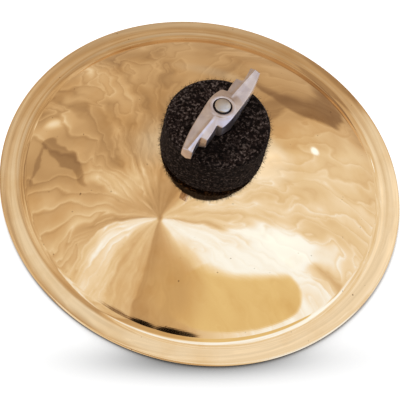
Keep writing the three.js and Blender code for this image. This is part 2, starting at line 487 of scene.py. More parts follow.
@dataclass
class Workshop:
    """The tools that the pieces share."""

    turning: Tree = field(default_factory=turning_group)
    axis_radius: float = 50 * MM
    winding_rows: int = 8

    def __post_init__(self) -> None:
        """Makes the trees that more than one piece uses."""
        self.lathe = self.lathe_tree()
        self.thread = self.thread_tree()
        self.hexagon = self.hexagon_tree()

    def turn(self, given: dict[str, Flow], outline: Flow) -> Flow:
        """Turns an outline inside a tree that takes an axis radius and a number of sides.

        Args:
            given: What flows into the tree, by name.
            outline: The outline.

        Returns:
            The turned surface.
        """
        return add_node(outline.tree, "GeometryNodeGroup", {
            "Geometry": outline, "Axis Radius": given["Axis Radius"], "Sides": given["Sides"]},
            node_tree=self.turning)

    def lathe_tree(self) -> Tree:
        """Makes the tree that turns a drawn outline of edges.

        Returns:
            The tree.
        """
        tree, given = new_tree("lathe", Float=("Axis Radius",), Int=("Sides",), Material=("Finish",))
        outline = add_node(tree, "GeometryNodeMeshToCurve", {"Mesh": given["Geometry"]})
        return finish_tree(tree, self.turn(given, outline), given["Finish"])

    def thread_tree(self) -> Tree:
        """Makes the tree that winds a threaded wall round the post's axis, between two heights.

        Returns:
            A tree that bends a flat grid into the wall. Its rows follow the thread, so the crests are clean.
        """
        tree, given = new_tree("thread", Float=(
            "Bottom", "Top", "Pitch", "Root Radius", "Crest Radius", "End Radius", "Run Out"),
            Int=("Columns", "Rows"), Material=("Finish",))
        length = (given["Rows"] - 1.0) * (given["Pitch"] / float(self.winding_rows))
        grid = add_node(tree, "GeometryNodeMeshGrid", {
            "Size X": 1.0, "Size Y": length, "Vertices X": given["Columns"], "Vertices Y": given["Rows"]})
        place = add_node(tree, "GeometryNodeInputPosition").split()
        turn = place["X"] + 0.5
        climb = turn * given["Pitch"] + (length * 0.5 + place["Y"])
        height = add_node(tree, "ShaderNodeClamp", {
            "Value": given["Bottom"] - given["Pitch"] + climb, "Min": given["Bottom"], "Max": given["Top"]})
        flank = (height / given["Pitch"] - turn).math("PINGPONG", 0.5)
        threaded = flank.remap(1 / 16, 7 / 16, given["Root Radius"], given["Crest Radius"])
        from_end = (height - given["Bottom"]).math("MINIMUM", given["Top"] - height)
        radius = from_end.remap(0.0, given["Run Out"], given["End Radius"], threaded)
        wall = add_node(tree, "GeometryNodeSetPosition", {
            "Geometry": grid, "Position": wrapped(turn * TURN, radius, height)})
        return finish_tree(tree, wall, given["Finish"])

    def hexagon_tree(self) -> Tree:
        """Makes the tree of a hexagonal body with turned chamfers, open at its bore.

        Returns:
            A tree that bends a flat grid into the lower face, the flats and the upper face.
        """
        tree, given = new_tree("hexagon_body", Float=(
            "Bottom", "Top", "Flats", "Face Radius", "Bottom Bore", "Top Bore"), Int=("Columns",),
            Material=("Finish",))
        slant = math.pi / 6
        grid = add_node(tree, "GeometryNodeMeshGrid", {
            "Size X": 1.0, "Size Y": 5.0, "Vertices X": given["Columns"], "Vertices Y": 6})
        place = add_node(tree, "GeometryNodeInputPosition").split()
        angle = place["X"].math("MULTIPLY_ADD", TURN, math.pi)
        ring = (place["Y"] + 2.5).math("PINGPONG", 2.5)
        high = place["Y"].math("GREATER_THAN", 0.0)
        hexagon = given["Flats"] * 0.5 / (slant - angle.math("PINGPONG", slant)).math("COSINE")
        bore = high.remap(to_low=given["Bottom Bore"], to_high=given["Top Bore"])
        face = ring.remap(to_low=bore, to_high=given["Face Radius"])
        radius = ring.remap(1.0, 2.0, face, hexagon)
        inset = ring.remap(1.0, 2.0, 0.0, (hexagon - given["Face Radius"]) * math.tan(slant))
        height = high.remap(to_low=given["Bottom"] + inset, to_high=given["Top"] - inset)
        body = add_node(tree, "GeometryNodeSetPosition", {
            "Geometry": grid, "Position": wrapped(angle, radius, height)})
        return finish_tree(tree, body, given["Finish"])

    def turned(
        self, name: str, outline: Sequence[Point], sides: int, finish: Material | None, closed: bool = True
    ) -> Piece:
        """Turns an outline round the post's axis.

        Args:
            name: Name of the piece.
            outline: Radius and height of its points.
            sides: Number of sides.
            finish: Material, or None for a cutter.
            closed: Whether the outline runs back to its first point.

        Returns:
            The turned piece, not yet welded.
        """
        mesh = bpy.data.meshes.new(name)
        edges = [(index, index + 1) for index in range(len(outline) - 1)]
        if closed:
            edges.append((len(outline) - 1, 0))
        mesh.from_pydata([(radius, height, 0.0) for radius, height in outline], edges, [])
        return grown(
            name, self.lathe, {"Axis Radius": self.axis_radius, "Sides": sides, "Finish": finish}, mesh)

    def wound(self, thread: Thread, bottom: float, top: float, sides: int, finish: Material) -> Piece:
        """Winds a threaded wall between two heights.

        Args:
            thread: The thread's size and side.
            bottom: Height where the wall starts.
            top: Height where it ends.
            sides: Number of sides round the axis.
            finish: Material.

        Returns:
            The wall, not yet welded.
        """
        pitch, root, crest, end = (size * MM for size in thread.value)
        rows = self.winding_rows * (math.ceil((top - bottom) / pitch) + 1) + 1
        return grown("threaded_wall", self.thread, {
            "Bottom": bottom, "Top": top, "Pitch": pitch, "Root Radius": root, "Crest Radius": crest,
            "End Radius": end, "Run Out": 0.6 * pitch, "Columns": sides + 1, "Rows": rows, "Finish": finish})


def new_material(name: str) -> tuple[Material, Flow]:
    """Starts a material.

    Args:
        name: Name of the material.

    Returns:
        The material and the piece's own coordinates.
    """
    material = bpy.data.materials.new(name)
    material.use_nodes = True
    return material, add_node(material.node_tree, "ShaderNodeTexCoord")["Object"]


@dataclass(frozen=True)
class Finish:
    """A real material and how it was worked, drawn on the piece's own coordinates."""

    def surface(self, place: Flow) -> dict[str, object]:
        """Draws the surface.

        Args:
            place: The piece's own coordinates.

        Returns:
            The shader's inputs by name.
        """
        raise NotImplementedError

    def make(self, name: str) -> Material:
        """Makes the material.

        Args:
            name: Name of the material.

        Returns:
            The material.
        """
        material, place = new_material(name)
        tree = material.node_tree
        connect(tree, tree.nodes["Principled BSDF"], self.surface(place))
        return material


@dataclass(frozen=True)
class CastBronze(Finish):
    """Bell bronze, cast in one piece and buffed to a mirror, or left as it came off the lathe."""

    work: Metalwork
    gold: str = "#F2D6AD"
    stain: str = "#EAC898"
    pit: str = "#6B4A26"
    cloud_size: float = 24 * MM
    pit_size: float = 1.6 * MM
    haze_size: float = 9 * MM
    wave_size: float = 12 * MM
    wave_depth: float = 0.05 * MM

    def surface(self, place: Flow) -> dict[str, object]:
        """Draws the bronze as it looks after one kind of finishing work.

        Args:
            place: The piece's own coordinates.

        Returns:
            The shader's inputs by name.
        """
        roughness, depth, spacing = self.work.value
        # A cast bell cools unevenly and then meets the air, which gives its gold soft warmer clouds.
        clouds = place.noise(self.cloud_size, 4.0, Roughness=0.6)
        gold = clouds.ramp((0.30, self.stain), (0.52, self.gold))
        # Buffing opens a few pores of the casting, which stay as brown pinpricks.
        opened = place.noise(self.pit_size, 1.0).remap(0.78, 0.81, 0.0, 0.7)
        colour = opened.mix(gold, linear(self.pit), colour=True)
        # Wax and fingers leave a haze in patches, so reflections are sharp here and a little soft there.
        dulled = place.noise(self.haze_size, 3.0).remap(0.35, 0.70, 0.8 * roughness, 1.4 * roughness)
        # The wheel follows the soft casting, so the mirror keeps shallow waves that bend what it shows.
        waved = place.noise(self.wave_size, 1.0).bump(self.wave_depth)
        # The lathe tool leaves rings: grooves underneath, and barely a trace where they were buffed away.
        rings = add_node(
            place.tree, "ShaderNodeTexWave",
            {"Vector": place, "Scale": WAVE_LENGTH / (spacing * MM), "Distortion": 0.3},
            wave_type="RINGS", rings_direction="Z")
        return {
            "Base Color": colour, "Metallic": 1.0, "Roughness": dulled,
            "Normal": rings.bump(depth * MM, Normal=waved)}


@dataclass(frozen=True)
class WoolFelt(Finish):
    """Wool felt, carded in layers, pressed and dyed charcoal."""

    dark: str = "#060302"
    middle: str = "#22140E"
    light: str = "#84736B"
    cool: str = "#29201F"
    sheen: str = "#B9A8A2"
    fibre_size: float = 1.0 * MM
    patch_size: float = 3.2 * MM
    layer_size: float = 7 * MM
    fibre_depth: float = 0.22 * MM
    fibre_squash: Place = (1.0, 1.0, 1.7)
    layer_squash: Place = (1.0, 1.0, 7.0)

    def surface(self, place: Flow) -> dict[str, object]:
        """Draws the felt's fibres, patches and layers.

        Args:
            place: The piece's own coordinates.

        Returns:
            The shader's inputs by name.
        """
        lying, flat = (
            add_node(place.tree, "ShaderNodeMapping", {"Vector": place, "Scale": squash})
            for squash in (self.fibre_squash, self.layer_squash))
        # Fleece of several shades is carded together, so single fibres stand out as pale and dark specks.
        fibres = lying.noise(self.fibre_size, 4.0, Roughness=0.65, Distortion=0.3)
        specks = fibres.ramp((0.42, self.dark), (0.52, self.middle), (0.67, self.light))
        # The shades aren't blended evenly: some patches stay cooler.
        cooled = place.noise(self.patch_size, 2.0).remap(0.48, 0.68, 0.0, 0.35)
        shades = cooled.mix(specks, linear(self.cool), colour=True)
        # The carded layers lie flat, so a cut edge shows faint level bands.
        banded = flat.noise(self.layer_size, 2.0).remap(0.3, 0.7, 0.35)
        # Pressing mats the fibres into small lumps, which keep the surface dull and grainy.
        return {
            "Base Color": banded.mix(linear(self.dark), shades, colour=True), "Roughness": 0.95,
            "Specular IOR Level": 0.10, "Normal": fibres.bump(self.fibre_depth, Strength=0.8),
            "Sheen Weight": 0.05, "Sheen Roughness": 0.6, "Sheen Tint": linear(self.sheen)}


@dataclass(frozen=True)
class CastZinc(Finish):
    """Zinc alloy, die-cast, tumbled and plated to a satin grey."""

    metal: str = "#D7CCCD"
    shade: str = "#C2B6B9"
    flow_size: float = 5 * MM
    dimple_size: float = 0.35 * MM
    dimple_depth: float = 0.006 * MM

    def surface(self, place: Flow) -> dict[str, object]:
        """Draws the casting's flow marks and dimples.

        Args:
            place: The piece's own coordinates.

        Returns:
            The shader's inputs by name.
        """
        # The metal chills as it fills the die, and its flow shows as soft differences in grey and gloss.
        flow = place.noise(self.flow_size, 3.0, Distortion=0.6)
        # Tumbling with stones leaves fine dimples, which break up the shine.
        pecked = place.noise(self.dimple_size, 2.0).bump(self.dimple_depth)
        return {
            "Base Color": flow.ramp((0.35, self.shade), (0.60, self.metal)), "Metallic": 1.0,
            "Roughness": flow.remap(0.3, 0.7, 0.27, 0.36), "Normal": pecked}


@dataclass(frozen=True)
class PlatedSteel(Finish):
    """Turned steel with a bright zinc plating."""

    metal: str = "#C8C2BF"
    blush: str = "#B9B6B8"
    stain_size: float = 3 * MM
    scratch_size: float = 0.9 * MM
    scratch_depth: float = 0.002 * MM

    def surface(self, place: Flow) -> dict[str, object]:
        """Draws the plating's blush and knocks.

        Args:
            place: The piece's own coordinates.

        Returns:
            The shader's inputs by name.
        """
        # The bright dip leaves a faint blue blush in patches.
        stains = place.noise(self.stain_size, 3.0)
        # Small parts are plated in a turning barrel, where they knock fine marks into each other.
        marked = place.noise(self.scratch_size, 5.0, Roughness=0.75).bump(self.scratch_depth)
        return {
            "Base Color": stains.ramp((0.40, self.metal), (0.62, self.blush)), "Metallic": 1.0,
            "Roughness": stains.remap(0.3, 0.7, 0.28, 0.40), "Normal": marked}


@dataclass(frozen=True)
class MouldedNylon(Finish):
    """Black nylon, injection moulded in a spark-eroded mould."""

    black: str = "#1D1D20"
    pale: str = "#2B2B2E"
    cloud_size: float = 4 * MM
    grain_size: float = 0.25 * MM
    grain_depth: float = 0.004 * MM

    def surface(self, place: Flow) -> dict[str, object]:
        """Draws the nylon's rubbed patches and grain.

        Args:
            place: The piece's own coordinates.

        Returns:
            The shader's inputs by name.
        """
        # Rubbing against bronze and steel polishes nylon and lightens it in patches.
        clouds = place.noise(self.cloud_size, 3.0)
        # The sparks that cut the mould leave a fine even grain, which keeps the plastic dull.
        grained = place.noise(self.grain_size, 1.0).bump(self.grain_depth)
        return {
            "Base Color": clouds.ramp((0.40, self.black), (0.75, self.pale)),
            "Roughness": clouds.remap(0.3, 0.7, 0.50, 0.38), "Normal": grained}


@dataclass
class Finishes:
    """The materials of all pieces, each made once."""

    buffed_bronze: Material = field(
        default_factory=lambda: CastBronze(Metalwork.MIRROR).make("buffed_bell_bronze"))
    turned_bronze: Material = field(
        default_factory=lambda: CastBronze(Metalwork.TURNED).make("turned_bell_bronze"))
    felt: Material = field(default_factory=lambda: WoolFelt().make("pressed_wool_felt"))
    zinc: Material = field(default_factory=lambda: CastZinc().make("satin_cast_zinc"))
    steel: Material = field(default_factory=lambda: PlatedSteel().make("bright_plated_steel"))
    nylon: Material = field(default_factory=lambda: MouldedNylon().make("moulded_black_nylon"))


def report(piece: Piece) -> None:
    """Logs a finished piece with its number of triangles."""
    piece.data.calc_loop_triangles()
    LOG.info("%s: %d triangles", piece.name, len(piece.data.loop_triangles))


def seat(piece: Piece, body: str, slot: str, *nodes: str) -> None:
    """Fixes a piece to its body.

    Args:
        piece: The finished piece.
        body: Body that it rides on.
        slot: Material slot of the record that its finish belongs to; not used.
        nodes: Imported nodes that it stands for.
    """
    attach(piece, body)
    if nodes:
        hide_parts(*nodes)
    report(piece)


class Assembly:
    """A group of pieces that is built and dressed together."""

    def build(self, shop: Workshop, finishes: Finishes) -> None:
        """Builds and dresses the pieces.

        Args:
            shop: The shared tools.
            finishes: The materials.
        """
        raise NotImplementedError


@dataclass(frozen=True)
class Arc:
    """One arc of the bell's outline, in the plane of radius and height."""

    name: str
    centre: Point
    radius: float
    start: float
    sweep: float
    steps: int
    finish: str = "Buffed"

    def values(self) -> dict[str, float | Place]:
        """Names the arc's sizes.

        Returns:
            The sizes by the names that they have in the bell's tree.
        """
        return {
            f"{self.name} Centre": (*self.centre, 0.0), f"{self.name} Radius": self.radius,
            f"{self.name} Start": self.start, f"{self.name} Sweep": self.sweep}

    def curve(self, tree: Tree, given: dict[str, Flow]) -> Flow:
        """Draws the arc.

        Args:
            tree: The bell's tree.
            given: What flows into the tree, by name.

        Returns:
            The arc's curve.
        """
        bow = add_node(tree, "GeometryNodeCurveArc", {
            "Resolution": self.steps + 1, "Radius": given[f"{self.name} Radius"],
            "Start Angle": given[f"{self.name} Start"], "Sweep Angle": given[f"{self.name} Sweep"]},
            mode="RADIUS")
        return add_node(
            tree, "GeometryNodeTransform", {"Geometry": bow, "Translation": given[f"{self.name} Centre"]})


@dataclass(frozen=True)
class Line:
    """One straight stretch of the bell's outline."""

    name: str
    start: Point
    stop: Point
    steps: int
    finish: str = "Turned"

    def values(self) -> dict[str, float | Place]:
        """Returns the line's ends by the names that they have in the bell's tree."""
        return {f"{self.name} Start": (*self.start, 0.0), f"{self.name} Stop": (*self.stop, 0.0)}

    def curve(self, tree: Tree, given: dict[str, Flow]) -> Flow:
        """Draws the line.

        Args:
            tree: The bell's tree.
            given: What flows into the tree, by name.

        Returns:
            The line's curve.
        """
        line = add_node(tree, "GeometryNodeCurvePrimitiveLine", {
            "Start": given[f"{self.name} Start"], "End": given[f"{self.name} Stop"]})
        return add_node(
            tree, "GeometryNodeResampleCurve", {"Curve": line, "Count": self.steps + 1}, mode="COUNT")


@dataclass
class Bell(Assembly):
    """The cast bronze bell: a domed shell with a flange round its rim and a hole at its top."""

    dome_radius: float = 101.4 * MM
    dome_centre: float = -73.6 * MM
    dome_edge: float = 66.3 * MM
    upper_fillet: float = 5.5 * MM
    lower_fillet: float = 9.0 * MM
    knee: float = 70.0
    wall: float = 1.8 * MM
    rim_thickness: float = 1.2 * MM
    inner_fillet: float = 10.3 * MM
    hole_radius: float = 6.0 * MM
    sides: int = 256

    def outline(self) -> tuple[Arc | Line, ...]:
        """Draws the bell's section, from the hole down the outside, round the rim and back up inside.

        Returns:
            The section's stretches, each of which starts where the last one ends.
        """
        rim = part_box("bell_cymbal")[1].x
        lip = self.rim_thickness / 2
        axis = Vector((0.0, self.dome_centre))
        hole = math.acos(self.hole_radius / self.dome_radius)
        edge, knee = math.acos(self.dome_edge / self.dome_radius), math.radians(self.knee)
        edge_slope, knee_slope = (Vector((math.cos(angle), math.sin(angle))) for angle in (edge, knee))
        upper = axis + (self.dome_radius + self.upper_fillet) * edge_slope
        lower = upper + (self.lower_fillet - self.upper_fillet) * knee_slope
        foot = lower.y - self.lower_fillet
        reach, drop = rim - lip - lower.x, foot - self.rim_thickness
        bow = (reach ** 2 + drop ** 2) / (2 * drop) + lip
        fall = math.atan2(reach, bow - lip - drop)
        inner_radius = self.dome_radius - self.wall
        inner_rise = self.inner_fillet - self.dome_centre
        inner_crease = math.sqrt((inner_radius + self.inner_fillet) ** 2 - inner_rise ** 2)
        inner_join = math.atan2(inner_rise, inner_crease)
        inner_hole = math.acos(self.hole_radius / inner_radius)
        inner_edge = (self.hole_radius, self.dome_centre + inner_radius * math.sin(inner_hole))
        outer_edge = (self.hole_radius, self.dome_centre + self.dome_radius * math.sin(hole))
        return (
            Arc("Dome", tuple(axis), self.dome_radius, hole, edge - hole, 72),
            Arc("Crease", tuple(upper), self.upper_fillet, edge - math.pi, knee - edge, 14),
            Arc("Foot", tuple(lower), self.lower_fillet, knee - math.pi, QUARTER - knee, 12),
            Arc("Flange", (lower.x, foot - bow), bow, QUARTER, -fall, 12),
            Arc("Lip", (rim - lip, lip), lip, QUARTER - fall, fall - math.pi, 14),
            Line("Sole", (rim - lip, 0.0), (inner_crease, 0.0), 6),
            Arc("Inner Crease", (inner_crease, self.inner_fillet), self.inner_fillet, -QUARTER,
                inner_join - QUARTER, 24, "Turned"),
            Arc("Inner Dome", tuple(axis), inner_radius, inner_join, inner_hole - inner_join, 60, "Turned"),
            Line("Hole", inner_edge, outer_edge, 1),
        )

    def tree(self, shop: Workshop, values: dict[str, float | Place]) -> Tree:
        """Makes the tree that turns the bell's section, one stretch after the other.

        Args:
            shop: The shared tools.
            values: Places and sizes of the stretches, by name.

        Returns:
            The tree, with a place and sizes for each stretch among its inputs.
        """
        floats = [name for name, value in values.items() if isinstance(value, float)]
        tree, given = new_tree(
            "bell_shell", Float=("Axis Radius", "Weld", *floats), Int=("Sides",),
            Vector=[name for name in values if name not in floats], Material=("Buffed", "Turned"))
        shell = add_node(tree, "GeometryNodeJoinGeometry")
        for stretch in reversed(self.outline()):
            surface = add_node(tree, "GeometryNodeSetMaterial", {
                "Geometry": shop.turn(given, stretch.curve(tree, given)), "Material": given[stretch.finish]})
            tree.links.new(surface.socket, shell.socket.node.inputs[0])
        welded = add_node(tree, "GeometryNodeMergeByDistance", {"Geometry": shell, "Distance": given["Weld"]})
        return finish_tree(tree, welded)

    def build(self, shop: Workshop, finishes: Finishes) -> None:
        """Builds and dresses the bell.

        Args:
            shop: The shared tools.
            finishes: The materials.
        """
        values = {name: value for stretch in self.outline() for name, value in stretch.values().items()}
        shell = tidy_solid(grown("bell_shell", self.tree(shop, values), {
            **values, "Axis Radius": shop.axis_radius, "Sides": self.sides, "Weld": WELD,
            "Buffed": finishes.buffed_bronze, "Turned": finishes.turned_bronze}))
        seat(shell, "cymbal", "bronze", "bell_cymbal")


@dataclass
class FeltWasher:
    """A thick washer punched from pressed wool felt, with loose fibres standing off it."""

    node: str
    name: str
    bottom_fall: float
    top_fall: float
    fibre_count: int
    rounding: float = 1.3 * MM
    bore_radius: float = 5.1 * MM
    ring_step: float = 0.5 * MM
    lump_height: float = 0.15 * MM
    lump_size: float = 1.4 * MM
    fibre_length: float = 1.5 * MM
    fibre_radius: float = 0.035 * MM
    sides: int = 220
    seed: int = 5
    fill: float = 1.0

    def washer_tree(self, shop: Workshop) -> Tree:
        """Makes the tree of a felt washer that bends over a dome and is lumpy all over.

        Args:
            shop: The shared tools.

        Returns:
            The tree.
        """
        tree, given = new_tree("felt_washer", Float=(
            "Axis Radius", "Outer Radius", "Bore Radius", "Bottom", "Thickness", "Rounding", "Ring Step",
            "Bottom Fall", "Top Fall", "Lump Height", "Lump Size"), Int=("Sides",), Material=("Felt",))
        bottom, top = given["Bottom"], given["Bottom"] + given["Thickness"]
        sides = (
            ("Bore Radius", top), ("Outer Radius", top), ("Outer Radius", bottom), ("Bore Radius", bottom))
        outline = add_node(tree, "GeometryNodeCurvePrimitiveQuadrilateral", {
            f"Point {index}": add_node(tree, "ShaderNodeCombineXYZ", {"X": given[across], "Y": height})
            for index, (across, height) in enumerate(sides, 1)}, mode="POINTS")
        softened = add_node(tree, "GeometryNodeFilletCurve", {
            "Curve": outline, "Count": 6, "Radius": given["Rounding"], "Limit Radius": True}, mode="POLY")
        ringed = add_node(tree, "GeometryNodeResampleCurve", {
            "Curve": softened, "Length": given["Ring Step"]}, mode="LENGTH")
        place = add_node(tree, "GeometryNodeInputPosition")
        out = place.vector("MULTIPLY", FLATTEN).vector("LENGTH")["Value"] / given["Outer Radius"]
        fall = place.split()["Z"].remap(bottom, top, given["Bottom Fall"], given["Top Fall"])
        down = add_node(tree, "ShaderNodeCombineXYZ", {"Z": fall * out ** 2.0 * -1.0})
        swell = (place.noise(given["Lump Size"], 3.0) - 0.5) * (given["Lump Height"] * 2.0)
        push = add_node(tree, "GeometryNodeInputNormal").vector("SCALE", swell)
        felt = add_node(tree, "GeometryNodeSetPosition", {
            "Geometry": shop.turn(given, ringed), "Offset": down.vector("ADD", push)})
        return finish_tree(tree, felt, given["Felt"])

    def nap_tree(self) -> Tree:
        """Makes the tree that sows bent loose fibres on a felt's surface.

        Returns:
            The tree.
        """
        tree, given = new_tree(
            "felt_nap", Float=("Fibre Length", "Fibre Radius", "Fibres Per Area"), Int=("Seed",),
            Material=("Felt",))
        sown = add_node(tree, "GeometryNodeDistributePointsOnFaces", {
            "Mesh": given["Geometry"], "Density": given["Fibres Per Area"], "Seed": given["Seed"]})
        bend = add_node(tree, "GeometryNodeCurveQuadraticBezier", {
            "Resolution": 3, "Start": (0.0, 0.0, -0.1), "Middle": (0.05, 0.0, 0.55), "End": (0.5, 0.0, 0.85)})
        ring = add_node(tree, "GeometryNodeCurvePrimitiveCircle", {
            "Resolution": 3, "Radius": given["Fibre Radius"] / given["Fibre Length"]})
        fibre = add_node(tree, "GeometryNodeCurveToMesh", {
            "Curve": bend, "Profile Curve": ring, "Fill Caps": True})
        leaning = add_node(
            tree, "FunctionNodeRandomValue",
            {0: (-1.25, -1.25, 0.0), 1: (1.25, 1.25, TURN), "Seed": given["Seed"]}, data_type="FLOAT_VECTOR")
        leaned = add_node(tree, "FunctionNodeEulerToRotation", {"Euler": leaning})
        stand = add_node(
            tree, "FunctionNodeRotateRotation", {"Rotation": sown["Rotation"], "Rotate By": leaned},
            rotation_space="LOCAL")
        length = add_node(
            tree, "FunctionNodeRandomValue", {2: 0.45, 3: 1.2, "Seed": given["Seed"]}, data_type="FLOAT")[1]
        nap = add_node(tree, "GeometryNodeInstanceOnPoints", {
            "Points": sown, "Instance": fibre, "Rotation": stand, "Scale": length * given["Fibre Length"]})
        return finish_tree(tree, add_node(tree, "GeometryNodeRealizeInstances", {0: nap}), given["Felt"])

    def build(self, shop: Workshop, finishes: Finishes) -> list[Piece]:
        """Builds and dresses the washer and its nap.

        Args:
            shop: The shared tools.
            finishes: The materials.

        Returns:
            The washer and its nap, not yet on a body.
        """
        low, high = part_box(self.node)
        washer = tidy_solid(grown(self.name, self.washer_tree(shop), {
            "Axis Radius": shop.axis_radius, "Sides": self.sides, "Outer Radius": high.x,
            "Bore Radius": self.bore_radius, "Bottom": low.z, "Thickness": high.z - low.z,
            "Rounding": self.rounding, "Ring Step": self.ring_step, "Bottom Fall": self.bottom_fall,
            "Top Fall": self.top_fall, "Lump Height": self.lump_height, "Lump Size": self.lump_size,
            "Felt": finishes.felt}), 60)
        area = sum(face.area for face in washer.data.polygons)
        nap = grown(f"{self.name}_nap", self.nap_tree(), {
            "Fibre Length": self.fibre_length, "Fibre Radius": self.fibre_radius,
            "Fibres Per Area": self.fibre_count / area, "Seed": self.seed, "Felt": finishes.felt},
            washer.data)
        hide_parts(self.node)
        for piece in (washer, nap):
            report(piece)
        return [washer, nap]


@dataclass
class Seat(Assembly):
    """What the bell sits on under its dome: a flanged nylon sleeve and the lower felt."""

    bore_radius: float = 3.3 * MM
    sleeve_radius: float = 4.8 * MM
    flange_thickness: float = 1.5 * MM
    edge: float = 0.3 * MM
    root: float = 0.5 * MM
    sides: int = 96
    felt: FeltWasher = field(default_factory=lambda: FeltWasher(
        "lower_felt", "lower_felt_washer", bottom_fall=0.0, top_fall=2.4 * MM, fibre_count=1400,
        rounding=0.9 * MM, seed=11))

    def build(self, shop: Workshop, finishes: Finishes) -> None:
        """Builds and dresses the sleeve and the felt.

        Args:
            shop: The shared tools.
            finishes: The materials.
        """
        low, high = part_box("sleeve")
        shelf = low.z + self.flange_thickness
        sleeve = tidy_solid(shop.turned("flanged_sleeve", rounded([
            (self.bore_radius, low.z, self.edge), (high.x, low.z, self.edge), (high.x, shelf, self.edge),
            (self.sleeve_radius, shelf, self.root), (self.sleeve_radius, high.z, self.edge),
            (self.bore_radius, high.z, self.edge)]), self.sides, finishes.nylon))
        seat(sleeve, "cymbal_seat", "sleeve_plastic", "sleeve")
        # The felt's top is squeezed as the bell rocks, and its foot stays on the sleeve's flange.
        for piece in self.felt.build(shop, finishes):
            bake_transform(piece)


@dataclass
class Damper(Assembly):
    """The thick felt on top of the dome, whose top rises with the wing nut."""

    felt: FeltWasher = field(default_factory=lambda: FeltWasher(
        "upper_felt", "upper_felt_washer", bottom_fall=0.8 * MM, top_fall=0.25 * MM, fibre_count=5200))

    def build(self, shop: Workshop, finishes: Finishes) -> None:
        """Builds and dresses the felt.

        Args:
            shop: The shared tools.
            finishes: The materials.
        """
        for piece in self.felt.build(shop, finishes):
            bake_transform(piece)


@dataclass
class Post(Assembly):
    """The threaded rod in its coupling, locked by a thin nut, with the steel washer that carries the seat."""

    coupling_flats: float = 13 * MM
    jam_nut_flats: float = 10 * MM
    face_share: float = 0.96
    end_rise: float = 0.75 * MM
    end_length: float = 2.2 * MM
    washer_bore: float = 3.3 * MM
    washer_edge: float = 0.35 * MM
    sides: int = 96
    rod_sides: int = 48
    end_steps: int = 12

    def hexagon(
        self, name: str, box: tuple[Vector, Vector], flats: float, bores: Point, shop: Workshop,
        steel: Material,
    ) -> Piece:
        """Makes a chamfered hexagonal body.

        Args:
            name: Name of the body.
            box: Its lowest and highest corners.
            flats: Distance across its flats.
            bores: Radii of its bore at the bottom and at the top.
            shop: The shared tools.
            steel: Material.

        Returns:
            The body, open at its bore and not yet welded.
        """
        return grown(name, shop.hexagon, {
            "Bottom": box[0].z, "Top": box[1].z, "Flats": flats, "Face Radius": self.face_share * flats / 2,
            "Bottom Bore": bores[0], "Top Bore": bores[1], "Columns": self.sides + 1, "Finish": steel})

    def rod(self, shop: Workshop, steel: Material) -> Piece:
        """Builds the rod: rolled thread, and a plain domed end that stands in the wing nut's bore.

        Args:
            shop: The shared tools.
            steel: Material.

        Returns:
            The rod.
        """
        low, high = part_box("threaded_rod")
        radius = Thread.M6_ROD.value[3] * MM
        shoulder = high.z - self.end_length
        angles = (step / self.end_steps * QUARTER for step in range(self.end_steps))
        dome = [
            (radius * math.cos(angle), high.z - self.end_rise * (1 - math.sin(angle))) for angle in angles]
        end = shop.turned("rod_end", [(radius, shoulder), *dome, (0.0, high.z)], self.rod_sides, steel, False)
        foot = shop.turned("rod_foot", [(0.0, low.z), (radius, low.z)], self.rod_sides, steel, False)
        wall = shop.wound(Thread.M6_ROD, low.z, shoulder, self.rod_sides, steel)
        return tidy_solid(joined("threaded_stud", wall, end, foot))

    def coupling(self, shop: Workshop, steel: Material) -> Piece:
        """Builds the coupling, with the stand's thread below and the rod's thread above a shoulder.

        Args:
            shop: The shared tools.
            steel: Material.

        Returns:
            The coupling.
        """
        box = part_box("base_coupling")
        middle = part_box("threaded_rod")[0].z
        wide, narrow = (thread.value[3] * MM for thread in (Thread.M8_BORE, Thread.M6_BORE))
        body = self.hexagon("coupling_body", box, self.coupling_flats, (wide, narrow), shop, steel)
        socket = shop.wound(Thread.M8_BORE, box[0].z, middle, self.sides, steel)
        shoulder = shop.turned(
            "coupling_shoulder", [(wide, middle), (narrow, middle)], self.sides, steel, False)
        bore = shop.wound(Thread.M6_BORE, middle, box[1].z, self.sides, steel)
        return tidy_solid(joined("hex_coupling", body, socket, shoulder, bore))

    def jam_nut(self, shop: Workshop, steel: Material) -> Piece:
        """Builds the thin nut that locks the rod.

        Args:
            shop: The shared tools.
            steel: Material.

        Returns:
            The nut.
        """
        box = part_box("jam_nut")
        narrow = Thread.M6_BORE.value[3] * MM
        body = self.hexagon("nut_body", box, self.jam_nut_flats, (narrow, narrow), shop, steel)
        bore = shop.wound(Thread.M6_BORE, box[0].z, box[1].z, self.sides, steel)
        return tidy_solid(joined("hex_jam_nut", body, bore))

    def washer(self, shop: Workshop, steel: Material) -> Piece:
        """Builds the stamped washer, whose upper edge is rounder than its lower one.

        Args:
            shop: The shared tools.
            steel: Material.

        Returns:
            The washer.
        """
        low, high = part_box("seat_washer")
        return tidy_solid(shop.turned("steel_seat_washer", rounded([
            (self.washer_bore, low.z, self.washer_edge / 2), (high.x, low.z, self.washer_edge / 2),
            (high.x, high.z, self.washer_edge), (self.washer_bore, high.z, self.washer_edge)]),
            self.sides, steel))

    def build(self, shop: Workshop, finishes: Finishes) -> None:
        """Builds and dresses the post.

        Args:
            shop: The shared tools.
            finishes: The materials.
        """
        makers = {
            "threaded_rod": self.rod, "base_coupling": self.coupling, "jam_nut": self.jam_nut,
            "seat_washer": self.washer}
        for node, make in makers.items():
            seat(make(shop, finishes.steel), "post", "plated_steel", node)


